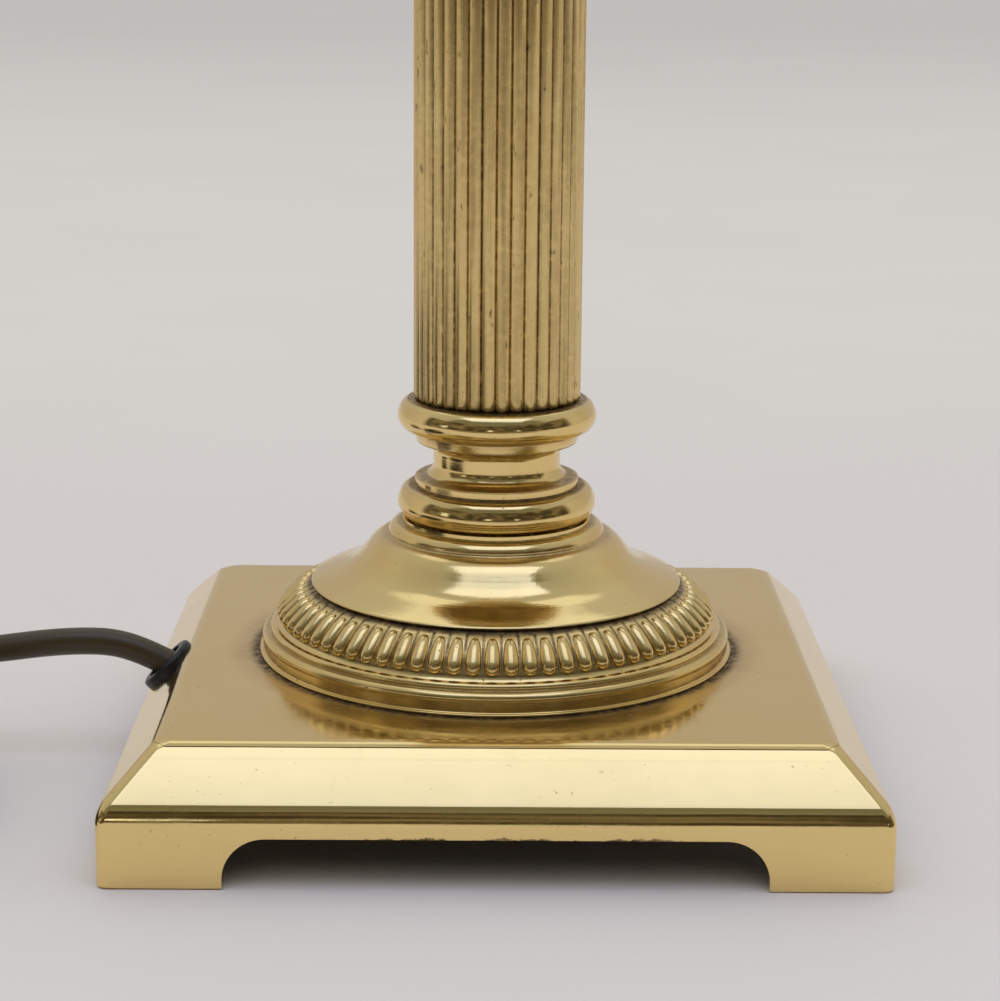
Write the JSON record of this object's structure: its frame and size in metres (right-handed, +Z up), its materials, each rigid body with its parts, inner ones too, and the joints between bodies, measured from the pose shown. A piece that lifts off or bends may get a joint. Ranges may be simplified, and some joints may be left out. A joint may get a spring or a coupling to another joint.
{
  "type": "column table lamp",
  "caption": "Brass table lamp: square plinth on bracket feet, gadrooned domed foot, reeded column, plain capital and a switched bayonet lampholder, with its flex and plug.",
  "frame": {"origin": "centre of the square plinth's footprint, on the table", "axes": "+Z up along the column, -Y is the front, the flex leaves the plinth on the -X side"},
  "size_m": [0.3057, 0.1784, 0.4845],
  "materials": {
    "brass_cast": "cast, polished outside, dull inside",
    "rubber_black": "smooth black",
    "zinc_steel": "zinc plated",
    "tinned": "tinned copper",
    "brass_plain": "turned, unpolished",
    "brass_polished": "polished, lightly aged",
    "porcelain": "off-white insulating moulding",
    "spring_steel": "drawn wire",
    "flex_sheath": "olive-gold sheath, satin",
    "core_sheath": "brown and blue cores",
    "plug_plastic": "black moulding",
    "fuse_ceramic": "cartridge body"
  },
  "bodies": {
    "lamp": {"base_plinth": "brass_cast", "cord_grommet": "rubber_black", "cord_clamp": "zinc_steel", "clamp_screws": "zinc_steel", "earth_tag": "tinned", "earth_screw": "brass_plain", "gadroon_foot": "brass_polished", "dome_foot": "brass_polished", "seat_washer": "brass_polished", "column_base": "brass_polished", "reeded_column": "brass_polished", "capital": "brass_polished", "abacus": "brass_polished", "top_cup": "brass_polished", "threaded_rod": "brass_plain", "bottom_washer": "zinc_steel", "bottom_nut": "zinc_steel", "lock_ring": "brass_polished", "holder_cap": "brass_polished", "holder_barrel": "brass_polished", "insulator": "porcelain", "contact_spring_front": "spring_steel", "contact_spring_back": "spring_steel", "terminal_screws": "brass_plain", "flex_tail": "flex_sheath", "flex_cores": "core_sheath", "free_cord": "flex_sheath", "cord_coil": "flex_sheath", "plug_cord": "flex_sheath", "plug_cover": "plug_plastic", "plug_base": "plug_plastic", "plug_pins": "brass_plain", "plug_screw": "zinc_steel", "plug_fuse": "fuse_ceramic"},
    "plunger_front": {"contact_plunger_front": "brass_plain"},
    "plunger_back": {"contact_plunger_back": "brass_plain"},
    "switch_bar": {"switch_bar": "brass_polished"},
    "shade_ring": {"shade_ring": "brass_polished"}
  },
  "joints": [
    {"name": "switch_push", "type": "slide", "parent": "lamp", "child": "switch_bar", "axis": [-1, 0, 0], "range_m": [0, 0.005]},
    {"name": "plunger_front_press", "type": "slide", "parent": "lamp", "child": "plunger_front", "axis": [0, 0, -1], "range_m": [0, 0.0035], "stiffness_N_per_m": 600, "deforming": ["contact_spring_front"]},
    {"name": "plunger_back_press", "type": "slide", "parent": "lamp", "child": "plunger_back", "axis": [0, 0, -1], "range_m": [0, 0.0035], "stiffness_N_per_m": 600, "deforming": ["contact_spring_back"]},
    {"name": "shade_ring_screw", "type": "slide", "parent": "lamp", "child": "shade_ring", "axis": [0, 0, 1], "range_m": [0, 0.018]}
  ]
}
